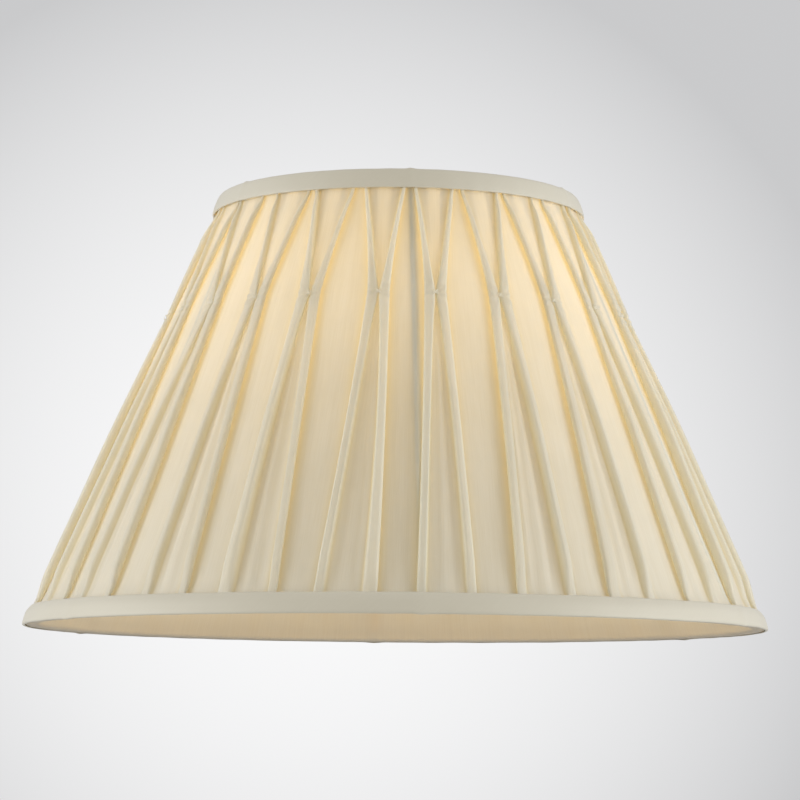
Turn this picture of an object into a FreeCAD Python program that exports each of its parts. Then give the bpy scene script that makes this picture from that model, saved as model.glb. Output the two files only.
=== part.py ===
import FreeCAD, Part
import os

import Sketcher

# A sixteen inch pinch-pleated empire lamp shade, in millimetres, standing on
# its base rim. +Z is the axis, the front is -Y, and z = 0 is the bottom of
# the base trim. The wire frame stands between the pleated cover outside and
# the lining inside, and the reversible fitter hangs from two arms on the top
# ring.

SIZES = (
    ("base_diameter", 410),
    ("top_diameter", 200),
    ("shade_height", 240),
    ("trim_width", 12),
    ("trim_thickness", 0.8),
    ("cover_depth", 3),
    ("cloth_gap", 0.1),
    ("ring_wire_diameter", 3.5),
    ("strut_diameter", 3),
    ("strut_count", 6),
    ("weld_gap", 0.02),
    ("first_strut_angle", -86.3),
    ("tape_thickness", 0.5),
    ("tape_end_gap", 0.2),
    ("lining_thickness", 0.6),
    ("lining_lift", 0.3),
    ("seam_width", 5),
    ("seam_thickness", 0.5),
    ("seam_end_gap", 1),
    ("pleat_count", 24),
    ("first_pinch_angle", -95.4),
    ("pinch_drop", 70),
    ("stitch_length", 3),
    ("stitch_width", 1.2),
    ("stitch_thickness", 0.6),
    ("arm_diameter", 3),
    ("arm_drop", 14),
    ("arm_bend_radius", 6),
    ("arm_end_gap", 0.5),
    ("arm_set_back", 0.2),
    ("eye_diameter", 13),
    ("eye_thickness", 2),
    ("sleeve_thickness", 0.5),
    ("sleeve_length", 9),
    ("rivet_diameter", 3),
    ("rivet_head_diameter", 6),
    ("rivet_head_thickness", 1.2),
    ("rivet_clearance", 0.1),
    ("side_gap", 0.3),
    ("fitter_diameter", 60),
    ("fitter_bore", 42),
    ("fitter_thickness", 1.5),
    ("fitter_drop", 18),
    ("ear_width", 9),
    ("ear_thickness", 1.5),
    ("reducer_bore", 29),
    ("reducer_flange_diameter", 50),
    ("reducer_flange_thickness", 1.5),
    ("reducer_neck_length", 3),
    ("reducer_chamfer", 0.5),
    ("reducer_clearance", 0.3),
    ("reducer_seat_gap", 0.1),
)

doc = FreeCAD.newDocument("LampShade")
sheet = doc.addObject("Spreadsheet::Sheet", "Sizes")
for row, (alias, size) in enumerate(SIZES, start=1):
    sheet.set("A%d" % row, alias)
    sheet.set("B%d" % row, str(size))
    sheet.setAlias("B%d" % row, alias)
doc.recompute()

finished = []

# Expressions that several pieces share. Depths are measured square to the
# slope, inwards from the outer face of the trims. Heights are along Z.

SLOPE = "((Sizes.base_diameter - Sizes.top_diameter) / 2 / Sizes.shade_height)"
SECANT = "sqrt(1 + %s ^ 2)" % SLOPE

COVER_OUTSIDE = "Sizes.trim_thickness"
COVER_INSIDE = "(Sizes.trim_thickness + Sizes.cover_depth)"
BOUND_RING_RADIUS = "(Sizes.ring_wire_diameter / 2 + Sizes.tape_thickness)"
WIRE_CENTRE = "(%s + Sizes.cloth_gap + %s)" % (COVER_INSIDE, BOUND_RING_RADIUS)
LINING_OUTSIDE = "(%s + %s + Sizes.cloth_gap)" % (WIRE_CENTRE, BOUND_RING_RADIUS)
LINING_INSIDE = "(%s + Sizes.lining_thickness)" % LINING_OUTSIDE
HEM_EDGE = "(Sizes.trim_thickness + Sizes.cloth_gap)"

HEM_TOP = "(Sizes.lining_lift + Sizes.lining_thickness)"
RING_INSET = "(%s + Sizes.cloth_gap + %s)" % (HEM_TOP, BOUND_RING_RADIUS)
BASE_RING_HEIGHT = RING_INSET
TOP_RING_HEIGHT = "(Sizes.shade_height - %s)" % RING_INSET
TRIM_RISE = "(Sizes.trim_width / %s)" % SECANT
PINCH_HEIGHT = "(Sizes.shade_height - Sizes.pinch_drop)"
PIVOT_HEIGHT = "(%s - Sizes.arm_drop)" % TOP_RING_HEIGHT
FITTER_TOP = "(%s - Sizes.fitter_drop)" % PIVOT_HEIGHT
FITTER_BOTTOM = "(%s - Sizes.fitter_thickness)" % FITTER_TOP
REDUCER_SEAT = "(%s + Sizes.reducer_seat_gap)" % FITTER_TOP

EAR_INSIDE = "(Sizes.fitter_diameter / 2 - Sizes.ear_thickness)"
EYE_INSIDE = "(Sizes.fitter_diameter / 2 + Sizes.side_gap)"
EYE_OUTSIDE = "(%s + Sizes.eye_thickness)" % EYE_INSIDE
ARM_DOWN = "(%s + Sizes.arm_diameter / 2 + Sizes.arm_set_back)" % EYE_INSIDE
ARM_RADIUS = "(Sizes.arm_diameter / 2)"
SLEEVE_RADIUS = "(%s + Sizes.sleeve_thickness)" % ARM_RADIUS


def slope_radius(height, depth="0"):
    """Expression of the radius at a height of the surface that lies this deep."""
    return "(Sizes.base_diameter / 2 - %s * (%s) - (%s) * %s)" % (SLOPE, height, depth, SECANT)


def value_of(expression):
    """Number that an expression gives with the sheet as it is."""
    number = sheet.evalExpression(expression)
    return float(getattr(number, "Value", number))


def origin_feature(body, role):
    for feature in body.Origin.OriginFeatures:
        if feature.Role == role:
            return feature
    raise ValueError(role)


def new_body(name):
    body = doc.addObject("PartDesign::Body", name + "_body")
    return body


def new_sketch(body, name, role, offset=None):
    """Sketch on one of the body's own planes, moved along its normal by an expression."""
    sketch = body.newObject("Sketcher::SketchObject", name)
    sketch.AttachmentSupport = (origin_feature(body, role), [""])
    sketch.MapMode = "FlatFace"
    if offset:
        sketch.setExpression("AttachmentOffset.Base.z", offset)
    return sketch


def hold(sketch, kind, geometry, point, expression):
    """Ties one point of the sketch to an expression, measured from the origin."""
    if expression == "0":
        axis = -1 if kind == "DistanceY" else -2
        sketch.addConstraint(Sketcher.Constraint("PointOnObject", geometry, point, axis))
        return
    number = value_of(expression)
    index = sketch.addConstraint(Sketcher.Constraint(kind, -1, 1, geometry, point, number))
    sketch.setExpression("Constraints[%d]" % index, expression)


def draw_outline(sketch, corners):
    """Closed outline of straight edges through corners given as pairs of expressions."""
    points = [FreeCAD.Vector(value_of(across), value_of(up), 0) for across, up in corners]
    count = len(points)
    for index in range(count):
        edge = Part.LineSegment(points[index], points[(index + 1) % count])
        sketch.addGeometry(edge, False)
    for index in range(count):
        following = (index + 1) % count
        sketch.addConstraint(Sketcher.Constraint("Coincident", index, 2, following, 1))
    for index, (across, up) in enumerate(corners):
        hold(sketch, "DistanceX", index, 1, across)
        hold(sketch, "DistanceY", index, 1, up)


def draw_circle(sketch, radius, centre_up="0"):
    """Circle centred on the sketch's vertical axis at a height, with a radius, as expressions."""
    centre = FreeCAD.Vector(0, value_of(centre_up), 0)
    circle = Part.Circle(centre, FreeCAD.Vector(0, 0, 1), value_of(radius))
    geometry = sketch.addGeometry(circle, False)
    sketch.addConstraint(Sketcher.Constraint("PointOnObject", geometry, 3, -2))
    hold(sketch, "DistanceY", geometry, 3, centre_up)
    index = sketch.addConstraint(Sketcher.Constraint("Radius", geometry, value_of(radius)))
    sketch.setExpression("Constraints[%d]" % index, radius)


def turned(name, corners, role="XZ_Plane", axis="V_Axis", offset=None, angle=None):
    """Body turned from an outline about one of the sketch's axes."""
    body = new_body(name)
    sketch = new_sketch(body, name + "_outline", role, offset)
    draw_outline(sketch, corners)
    turn = body.newObject("PartDesign::Revolution", name + "_turn")
    turn.Profile = sketch
    turn.ReferenceAxis = (sketch, [axis])
    if angle:
        turn.Midplane = True
        turn.setExpression("Angle", angle)
    else:
        turn.Angle = 360
    body.Tip = turn
    return body, turn


def band(name, low, high, outside, inside):
    """Conical band between two heights and two depths."""
    corners = (
        (slope_radius(low, outside), low),
        (slope_radius(high, outside), high),
        (slope_radius(high, inside), high),
        (slope_radius(low, inside), low),
    )
    return turned(name, corners)


def finish(item, label):
    """Names a finished piece and puts it on the list of pieces to write."""
    item.Label = label
    finished.append(item)
    return item


def cut(name, base, tool):
    result = doc.addObject("Part::Cut", name)
    result.Base = base
    result.Tool = tool
    return result


def torus(name, ring_radius, tube_radius, height, start="0", sweep="360"):
    """Ring about Z, or a length of one from a start angle through a sweep."""
    ring = doc.addObject("Part::Torus", name)
    ring.setExpression("Radius1", ring_radius)
    ring.setExpression("Radius2", tube_radius)
    ring.setExpression("Angle3", sweep)
    spot = "vector(0; 0; %s)" % height
    ring.setExpression("Placement", "placement(%s; rotation(vector(0; 0; 1); %s))" % (spot, start))
    return ring


def rod_along_x(name, radius, start, length, turn=0):
    """Round rod at the height of the top ring, pointing outwards at an angle about Z."""
    rod = doc.addObject("Part::Cylinder", name)
    rod.setExpression("Radius", radius)
    rod.setExpression("Height", length)
    about_axis = "placement(vector(0; 0; 0); rotation(vector(0; 0; 1); %s))" % turn
    laid_over = "placement(vector(%s; 0; %s); rotation(vector(0; 1; 0); 90))" % (start, TOP_RING_HEIGHT)
    rod.setExpression("Placement", "%s * %s" % (about_axis, laid_over))
    return rod


def along_ring(name, ring_radius, height, turn):
    """Straight rod on a ring's tangent at an angle about Z. It shapes a wire's end to fit the ring."""
    rod = doc.addObject("Part::Cylinder", name)
    rod.setExpression("Radius", "%s + Sizes.weld_gap" % RING_TUBE)
    rod.setExpression("Height", "4 * Sizes.ring_wire_diameter")
    about_axis = "placement(vector(0; 0; 0); rotation(vector(0; 0; 1); %s))" % turn
    middle = "vector(%s; -2 * Sizes.ring_wire_diameter; %s)" % (ring_radius, height)
    laid_over = "placement(%s; rotation(vector(1; 0; 0); -90))" % middle
    rod.setExpression("Placement", "%s * %s" % (about_axis, laid_over))
    return rod


# ---- wire frame: two rings and the struts welded between them

TOP_RING_RADIUS = slope_radius(TOP_RING_HEIGHT, WIRE_CENTRE)
BASE_RING_RADIUS = slope_radius(BASE_RING_HEIGHT, WIRE_CENTRE)
RING_TUBE = "Sizes.ring_wire_diameter / 2"

top_ring = torus("top_ring_wire", TOP_RING_RADIUS, RING_TUBE, TOP_RING_HEIGHT)
bottom_ring = torus("bottom_ring_wire", BASE_RING_RADIUS, RING_TUBE, BASE_RING_HEIGHT)
finish(top_ring, "top_ring")
finish(bottom_ring, "bottom_ring")

strut_stations = []
for number in range(1, int(sheet.strut_count) + 1):
    rod = doc.addObject("Part::Cylinder", "strut_rod_%d" % number)
    rod.setExpression("Radius", "Sizes.strut_diameter / 2")
    rod.setExpression("Height", "(%s - %s) * %s" % (TOP_RING_HEIGHT, BASE_RING_HEIGHT, SECANT))
    station = "(Sizes.first_strut_angle + %d * 360 / Sizes.strut_count)" % (number - 1)
    about_axis = "placement(vector(0; 0; 0); rotation(vector(0; 0; 1); %s))" % station
    foot = "vector(%s; 0; %s)" % (BASE_RING_RADIUS, BASE_RING_HEIGHT)
    leaning = "placement(%s; rotation(vector(0; 1; 0); -atan(%s)))" % (foot, SLOPE)
    rod.setExpression("Placement", "%s * %s" % (about_axis, leaning))
    strut_stations.append(station)
    welds = doc.addObject("Part::Compound", "strut_%d_welds" % number)
    welds.Links = [
        along_ring("strut_%d_foot_weld" % number, BASE_RING_RADIUS, BASE_RING_HEIGHT, station),
        along_ring("strut_%d_head_weld" % number, TOP_RING_RADIUS, TOP_RING_HEIGHT, station),
    ]
    finish(cut("strut_%d_cut" % number, rod, welds), "strut_%d" % number)


# ---- arms: wires from the top ring to the pivot eyes, one each side

def arm_body(name, turn):
    """Wire that runs in from the ring, bends down and ends in a flat pierced eye."""
    body = new_body(name)
    path = new_sketch(body, name + "_path", "XZ_Plane")
    bend = value_of("Sizes.arm_bend_radius")
    start = FreeCAD.Vector(value_of(TOP_RING_RADIUS), value_of(TOP_RING_HEIGHT), 0)
    foot_up = "(%s + Sizes.ear_width / 2 + Sizes.arm_end_gap)" % PIVOT_HEIGHT
    foot = FreeCAD.Vector(value_of(ARM_DOWN), value_of(foot_up), 0)
    bend_start = FreeCAD.Vector(foot.x + bend, start.y, 0)
    bend_end = FreeCAD.Vector(foot.x, start.y - bend, 0)
    centre = FreeCAD.Vector(foot.x + bend, start.y - bend, 0)
    corner = centre + FreeCAD.Vector(-1, 1, 0).normalize() * bend
    path.addGeometry(Part.LineSegment(start, bend_start), False)
    path.addGeometry(Part.Arc(bend_start, corner, bend_end), False)
    path.addGeometry(Part.LineSegment(bend_end, foot), False)
    path.addConstraint(Sketcher.Constraint("Tangent", 0, 2, 1, 1))
    path.addConstraint(Sketcher.Constraint("Tangent", 1, 2, 2, 1))
    path.addConstraint(Sketcher.Constraint("Horizontal", 0))
    path.addConstraint(Sketcher.Constraint("Vertical", 2))
    hold(path, "DistanceX", 0, 1, TOP_RING_RADIUS)
    hold(path, "DistanceY", 0, 1, TOP_RING_HEIGHT)
    hold(path, "DistanceX", 2, 2, ARM_DOWN)
    hold(path, "DistanceY", 2, 2, foot_up)
    radius = path.addConstraint(Sketcher.Constraint("Radius", 1, bend))
    path.setExpression("Constraints[%d]" % radius, "Sizes.arm_bend_radius")
    section = new_sketch(body, name + "_section", "YZ_Plane", TOP_RING_RADIUS)
    draw_circle(section, ARM_RADIUS, TOP_RING_HEIGHT)
    wire = body.newObject("PartDesign::AdditivePipe", name + "_wire")
    wire.Profile = section
    wire.Spine = (path, ["Edge1", "Edge2", "Edge3"])
    face = new_sketch(body, name + "_eye_face", "YZ_Plane", EYE_INSIDE)
    draw_circle(face, "Sizes.eye_diameter / 2", PIVOT_HEIGHT)
    eye = body.newObject("PartDesign::Pad", name + "_eye")
    eye.Profile = face
    eye.setExpression("Length", "Sizes.eye_thickness")
    doc.recompute()
    drilled = new_sketch(body, name + "_eye_hole_face", "YZ_Plane", EYE_OUTSIDE)
    draw_circle(drilled, "Sizes.rivet_diameter / 2", PIVOT_HEIGHT)
    hole = body.newObject("PartDesign::Pocket", name + "_eye_hole")
    hole.Profile = drilled
    hole.setExpression("Length", "Sizes.eye_thickness")
    doc.recompute()
    if hole.Shape.Volume > eye.Shape.Volume - 1:
        raise RuntimeError("the eye of %s was not drilled" % name)
    body.Tip = hole
    body.Placement = FreeCAD.Placement(
        FreeCAD.Vector(0, 0, 0), FreeCAD.Rotation(FreeCAD.Vector(0, 0, 1), turn)
    )
    return body


arm_sides = (("right", 0), ("left", 180))
for side, turn in arm_sides:
    blank = arm_body("%s_arm_blank" % side, turn)
    weld = along_ring("%s_arm_weld" % side, TOP_RING_RADIUS, TOP_RING_HEIGHT, turn)
    finish(cut("%s_arm_cut" % side, blank, weld), "%s_arm" % side)


# ---- cotton tape bound round each ring, from one wire to the next

def ring_binding(name, ring, ring_radius, height, wires):
    """Lengths of tape round a ring. Each wire is the angle where it leaves and its radius."""
    wires = sorted(wires, key=lambda wire: value_of(wire[0]))
    full_turn = [("(%s + 360)" % wires[0][0], wires[0][1])]
    lengths = []
    for number, (here, there) in enumerate(zip(wires, wires[1:] + full_turn), 1):
        start = "(%s + (%s + Sizes.tape_end_gap) / %s * 180 / pi)" % (*here, ring_radius)
        end = "(%s - (%s + Sizes.tape_end_gap) / %s * 180 / pi)" % (*there, ring_radius)
        sweep = "(%s - %s)" % (end, start)
        tape = torus("%s_%d" % (name, number), ring_radius, BOUND_RING_RADIUS, height, start, sweep)
        lengths.append(tape)
    wound = doc.addObject("Part::Compound", name + "_lengths")
    wound.Links = lengths
    return finish(cut(name + "_cut", wound, ring), name)


strut_leaves = [(station, "Sizes.strut_diameter / 2") for station in strut_stations]
arm_leaves = [("%d" % turn, ARM_RADIUS) for side, turn in arm_sides]
ring_binding("top_ring_binding", top_ring, TOP_RING_RADIUS, TOP_RING_HEIGHT, strut_leaves + arm_leaves)
ring_binding("bottom_ring_binding", bottom_ring, BASE_RING_RADIUS, BASE_RING_HEIGHT, strut_leaves)


# ---- pleated silk cover, trims and the pinching stitches

cover_low = "(%s + Sizes.cloth_gap)" % HEM_TOP
cover_high = "(Sizes.shade_height - %s - Sizes.cloth_gap)" % HEM_TOP
cover, _ = band("pleated_cover", cover_low, cover_high, COVER_OUTSIDE, COVER_INSIDE)
finish(cover, "pleated_cover")

trim_low = "(Sizes.shade_height - %s)" % TRIM_RISE
top_trim, _ = band("top_trim", trim_low, "Sizes.shade_height", "0", COVER_OUTSIDE)
finish(top_trim, "top_trim")
bottom_trim, _ = band("bottom_trim", "0", TRIM_RISE, "0", COVER_OUTSIDE)
finish(bottom_trim, "bottom_trim")

stitch_low = "(%s - Sizes.stitch_width / 2)" % PINCH_HEIGHT
stitch_high = "(%s + Sizes.stitch_width / 2)" % PINCH_HEIGHT
stitch_face = "(%s - Sizes.stitch_thickness)" % COVER_OUTSIDE
stitch_corners = (
    (slope_radius(stitch_low, stitch_face), stitch_low),
    (slope_radius(stitch_high, stitch_face), stitch_high),
    (slope_radius(stitch_high, COVER_OUTSIDE), stitch_high),
    (slope_radius(stitch_low, COVER_OUTSIDE), stitch_low),
)
stitch_angle = "Sizes.stitch_length / %s * 180 / pi" % slope_radius(PINCH_HEIGHT, COVER_OUTSIDE)
stitches, one_stitch = turned("pinch_stitches", stitch_corners, angle=stitch_angle)
doc.recompute()
ring_of_stitches = stitches.newObject("PartDesign::PolarPattern", "stitches_around")
ring_of_stitches.Originals = [one_stitch]
ring_of_stitches.Axis = (origin_feature(stitches, "Z_Axis"), [""])
ring_of_stitches.Angle = 360
ring_of_stitches.setExpression("Occurrences", "Sizes.pleat_count")
stitches.Tip = ring_of_stitches
stitches.setExpression(
    "Placement", "placement(vector(0; 0; 0); rotation(vector(0; 0; 1); Sizes.first_pinch_angle))"
)
finish(stitches, "pinch_stitches")


# ---- lining, rolled over both rings and pierced for the arms

lining_low = "Sizes.lining_lift"
lining_high = "(Sizes.shade_height - Sizes.lining_lift)"
turn_over = "(Sizes.shade_height - %s)" % HEM_TOP
lining_corners = (
    (slope_radius(lining_low, HEM_EDGE), lining_low),
    (slope_radius(HEM_TOP, HEM_EDGE), HEM_TOP),
    (slope_radius(HEM_TOP, LINING_OUTSIDE), HEM_TOP),
    (slope_radius(turn_over, LINING_OUTSIDE), turn_over),
    (slope_radius(turn_over, HEM_EDGE), turn_over),
    (slope_radius(lining_high, HEM_EDGE), lining_high),
    (slope_radius(lining_high, LINING_INSIDE), lining_high),
    (slope_radius(lining_low, LINING_INSIDE), lining_low),
)
lining_shell, _ = turned("lining_shell", lining_corners)
arm_hole_radius = "(%s + Sizes.cloth_gap)" % SLEEVE_RADIUS
arm_hole = rod_along_x(
    "arm_holes", arm_hole_radius, "-" + TOP_RING_RADIUS, "2 * %s" % TOP_RING_RADIUS
)
finish(cut("lining_cut", lining_shell, arm_hole), "lining")

seam_low = "(%s + %s + Sizes.seam_end_gap)" % (BASE_RING_HEIGHT, BOUND_RING_RADIUS)
seam_high = "(%s - %s - Sizes.seam_end_gap)" % (TOP_RING_HEIGHT, BOUND_RING_RADIUS)
seam_outside = "(%s - Sizes.seam_thickness)" % LINING_OUTSIDE
seam_shell, _ = band("seam_shell", seam_low, seam_high, seam_outside, LINING_OUTSIDE)
seam_slice = doc.addObject("Part::Box", "seam_slice")
seam_slice.setExpression("Length", "Sizes.base_diameter / 2")
seam_slice.setExpression("Width", "Sizes.seam_width")
seam_slice.setExpression("Height", "Sizes.shade_height")
seam_turn = "placement(vector(0; 0; 0); rotation(vector(0; 0; 1); Sizes.first_strut_angle + 180))"
seam_shift = "placement(vector(0; -Sizes.seam_width / 2; 0); rotation(vector(0; 0; 1); 0))"
seam_slice.setExpression("Placement", "%s * %s" % (seam_turn, seam_shift))
lining_seam = doc.addObject("Part::Common", "lining_seam_common")
lining_seam.Base = seam_shell
lining_seam.Tool = seam_slice
finish(lining_seam, "lining_seam")


# ---- sleeves of lining cloth sewn round the arms where they pass the lining

sleeve_end = "(%s - %s - Sizes.cloth_gap)" % (TOP_RING_RADIUS, BOUND_RING_RADIUS)
sleeve_start = "(%s - Sizes.sleeve_length)" % sleeve_end
for side, turn in arm_sides:
    name = "%s_arm_sleeve" % side
    whole = rod_along_x(name + "_whole", SLEEVE_RADIUS, sleeve_start, "Sizes.sleeve_length", turn)
    hollow = rod_along_x(name + "_hollow", ARM_RADIUS, sleeve_start, "Sizes.sleeve_length", turn)
    finish(cut(name + "_cut", whole, hollow), name)


# ---- fitter: a pressed ring with two ears that turns on the rivets

fitter = new_body("fitter_ring")
washer_face = new_sketch(fitter, "washer_face", "XY_Plane", FITTER_BOTTOM)
draw_circle(washer_face, "Sizes.fitter_diameter / 2")
draw_circle(washer_face, "Sizes.fitter_bore / 2")
washer = fitter.newObject("PartDesign::Pad", "washer")
washer.Profile = washer_face
washer.setExpression("Length", "Sizes.fitter_thickness")
doc.recompute()

ear_face = new_sketch(fitter, "ear_face", "YZ_Plane", EAR_INSIDE)
ear_half = value_of("Sizes.ear_width / 2")
ear_low = value_of(FITTER_BOTTOM)
ear_pivot = value_of(PIVOT_HEIGHT)
low_right = FreeCAD.Vector(ear_half, ear_low, 0)
high_right = FreeCAD.Vector(ear_half, ear_pivot, 0)
ear_tip = FreeCAD.Vector(0, ear_pivot + ear_half, 0)
high_left = FreeCAD.Vector(-ear_half, ear_pivot, 0)
low_left = FreeCAD.Vector(-ear_half, ear_low, 0)
ear_face.addGeometry(Part.LineSegment(low_left, low_right), False)
ear_face.addGeometry(Part.LineSegment(low_right, high_right), False)
ear_face.addGeometry(Part.Arc(high_right, ear_tip, high_left), False)
ear_face.addGeometry(Part.LineSegment(high_left, low_left), False)
ear_face.addConstraint(Sketcher.Constraint("Coincident", 0, 2, 1, 1))
ear_face.addConstraint(Sketcher.Constraint("Tangent", 1, 2, 2, 1))
ear_face.addConstraint(Sketcher.Constraint("Tangent", 2, 2, 3, 1))
ear_face.addConstraint(Sketcher.Constraint("Coincident", 3, 2, 0, 1))
ear_face.addConstraint(Sketcher.Constraint("Vertical", 1))
ear_face.addConstraint(Sketcher.Constraint("Vertical", 3))
hold(ear_face, "DistanceX", 0, 2, "Sizes.ear_width / 2")
hold(ear_face, "DistanceY", 0, 2, FITTER_BOTTOM)
hold(ear_face, "DistanceX", 0, 1, "-Sizes.ear_width / 2")
hold(ear_face, "DistanceY", 0, 1, FITTER_BOTTOM)
hold(ear_face, "DistanceY", 2, 3, PIVOT_HEIGHT)
draw_circle(ear_face, "(Sizes.rivet_diameter / 2 + Sizes.rivet_clearance)", PIVOT_HEIGHT)
ear = fitter.newObject("PartDesign::Pad", "ear")
ear.Profile = ear_face
ear.setExpression("Length", "Sizes.ear_thickness")
doc.recompute()
other_ear = fitter.newObject("PartDesign::Mirrored", "other_ear")
other_ear.Originals = [ear]
other_ear.MirrorPlane = (origin_feature(fitter, "YZ_Plane"), [""])
fitter.Tip = other_ear
finish(fitter, "fitter_ring")


# ---- rivets: a shank tight in each arm's eye and loose in each ear, with two heads

head_inside = "(%s - Sizes.side_gap)" % EAR_INSIDE
head_tip = "(%s - Sizes.rivet_head_thickness)" % head_inside
outer_tip = "(%s + Sizes.rivet_head_thickness)" % EYE_OUTSIDE
rivet_corners = (
    (head_tip, "0"),
    (head_tip, "Sizes.rivet_head_diameter / 2"),
    (head_inside, "Sizes.rivet_head_diameter / 2"),
    (head_inside, "Sizes.rivet_diameter / 2"),
    (EYE_OUTSIDE, "Sizes.rivet_diameter / 2"),
    (EYE_OUTSIDE, "Sizes.rivet_head_diameter / 2"),
    (outer_tip, "Sizes.rivet_head_diameter / 2"),
    (outer_tip, "0"),
)
rivets, one_rivet = turned(
    "pivot_rivets", rivet_corners, role="XY_Plane", axis="H_Axis", offset=PIVOT_HEIGHT
)
doc.recompute()
other_rivet = rivets.newObject("PartDesign::Mirrored", "other_rivet")
other_rivet.Originals = [one_rivet]
other_rivet.MirrorPlane = (origin_feature(rivets, "YZ_Plane"), [""])
rivets.Tip = other_rivet
finish(rivets, "pivot_rivets")


# ---- reducer: a flanged plastic ring that drops into the fitter's hole

neck_bottom = "(%s - Sizes.reducer_neck_length)" % REDUCER_SEAT
flange_top = "(%s + Sizes.reducer_flange_thickness)" % REDUCER_SEAT
neck_radius = "(Sizes.fitter_bore / 2 - Sizes.reducer_clearance)"
flange_radius = "Sizes.reducer_flange_diameter / 2"
reducer_corners = (
    ("Sizes.reducer_bore / 2", neck_bottom),
    (neck_radius, neck_bottom),
    (neck_radius, REDUCER_SEAT),
    (flange_radius, REDUCER_SEAT),
    (flange_radius, "(%s - Sizes.reducer_chamfer)" % flange_top),
    ("(%s - Sizes.reducer_chamfer)" % flange_radius, flange_top),
    ("Sizes.reducer_bore / 2", flange_top),
)
reducer, _ = turned("reducer_ring", reducer_corners)
finish(reducer, "reducer_ring")


# ---- check every object, then write each piece

doc.recompute()
for item in doc.Objects:
    if "Invalid" in item.State or "Error" in item.State:
        raise RuntimeError("%s failed to rebuild" % item.Name)
for item in finished:
    if item.Shape.isNull() or not item.Shape.isValid():
        raise RuntimeError("%s has no valid shape" % item.Label)

os.makedirs("parts", exist_ok=True)
for item in finished:
    item.Shape.exportStep(os.path.join("parts", item.Label + ".step"))
    box = item.Shape.BoundBox
    print("%-22s %2d solids %10.1f mm3  z %.2f to %.2f" % (
        item.Label, len(item.Shape.Solids), item.Shape.Volume, box.ZMin, box.ZMax,
    ))
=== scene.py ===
import math
import random

import bpy
from mathutils import Matrix, Vector, noise


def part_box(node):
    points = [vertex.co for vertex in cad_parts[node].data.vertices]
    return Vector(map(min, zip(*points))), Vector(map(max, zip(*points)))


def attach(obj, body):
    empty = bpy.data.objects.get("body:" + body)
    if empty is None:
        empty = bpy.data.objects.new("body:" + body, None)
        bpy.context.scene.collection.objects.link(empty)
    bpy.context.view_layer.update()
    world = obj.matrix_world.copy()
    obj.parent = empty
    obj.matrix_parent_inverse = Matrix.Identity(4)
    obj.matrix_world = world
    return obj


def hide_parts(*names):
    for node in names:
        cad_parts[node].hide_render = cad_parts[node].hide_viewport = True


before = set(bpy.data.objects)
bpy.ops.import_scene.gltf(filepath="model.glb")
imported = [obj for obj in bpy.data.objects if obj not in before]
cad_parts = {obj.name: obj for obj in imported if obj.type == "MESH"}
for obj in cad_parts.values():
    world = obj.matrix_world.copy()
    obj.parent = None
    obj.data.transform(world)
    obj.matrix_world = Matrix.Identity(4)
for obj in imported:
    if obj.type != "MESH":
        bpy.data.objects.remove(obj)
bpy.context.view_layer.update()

# A pinch-pleated silk lamp shade, in metres. The front is -Y and an angle
# grows to the right as the front is faced. Heights are from the base rim.
# Depths run inwards from the outer face of the trims, square to the slope.

MM = 0.001
FULL_TURN = 2 * math.pi

base_low, base_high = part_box("bottom_trim")
crown_low, crown_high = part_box("top_trim")
stitch_low, stitch_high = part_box("pinch_stitches")

BASE_RADIUS = base_high.x
SHADE_HEIGHT = crown_high.z
SLOPE = (base_high.x - crown_high.x) / (crown_low.z - base_low.z)
SECANT = math.hypot(1, SLOPE)
TRIM_RISE = base_high.z - base_low.z
CROWN_EDGE = SHADE_HEIGHT - TRIM_RISE
PINCH_HEIGHT = (stitch_low.z + stitch_high.z) / 2

FRONT = math.radians(-90)
PLEATS = 24
PLEAT_STEP = FULL_TURN / PLEATS
FIRST_PLEAT = FRONT - math.radians(5.4)
STRUTS = 6
PLEATS_TO_A_STRUT = PLEATS // STRUTS
FIRST_STRUT = FRONT + math.radians(3.7)
# Where the painted strut shadow and the cloth's tent over each strut lie, a little to the right of the strut
# itself.
WIRE_LINE = FIRST_STRUT + math.radians(0.4)
SEAM_ANGLE = FIRST_STRUT + math.pi


# ---------------------------------------------------------------- helpers

def part_way(low, high, value):
    """0 at low or before it, 1 at high or past it, and in proportion between them."""
    return min(1, max(0, (value - low) / (high - low)))


def smooth(low, high, value):
    """As part_way, with an even ease at both ends."""
    part = part_way(low, high, value)
    return part * part * (3 - 2 * part)


def blend(first, last, part):
    return first + (last - first) * part


def bell(value, middle, spread):
    return math.exp(-((value - middle) / spread) ** 2)


def slope_radius(height, depth=0):
    return BASE_RADIUS - SLOPE * height - depth * SECANT


def on_slope(angle, height, depth):
    radius = slope_radius(height, depth)
    return Vector((radius * math.cos(angle), radius * math.sin(angle), height))


def ripple_at(angle, height, round_scale, height_scale):
    """A small unevenness of cloth between -1 and 1, that closes on itself round the shade."""
    x = math.cos(angle) * round_scale
    y = math.sin(angle) * round_scale
    return noise.noise(Vector((x, y, height * height_scale)))


def struts_past(angle):
    """How many struts an angle is past the first one, with its fraction."""
    return (angle - FIRST_STRUT) * STRUTS / FULL_TURN


def turn_angles(columns):
    return [FULL_TURN * column / columns for column in range(columns)]


def girths(columns, radius):
    """How far round each edge of a closed band's columns lies, from 0 to the whole girth."""
    return [column / columns * FULL_TURN * radius for column in range(columns + 1)]


def runs_along(profile):
    """How far along the cloth each (height, depth) of a profile lies, from its first."""
    runs = [0]
    for (height, depth), (next_height, next_depth) in zip(profile, profile[1:]):
        runs.append(runs[-1] + math.hypot((next_height - height) * SECANT, next_depth - depth))
    return runs


def clear_selection():
    if bpy.context.object and bpy.context.object.mode != "OBJECT":
        bpy.ops.object.mode_set(mode="OBJECT")
    bpy.ops.object.select_all(action="DESELECT")


def give(piece, material):
    piece.data.materials.clear()
    piece.data.materials.append(material)


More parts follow.
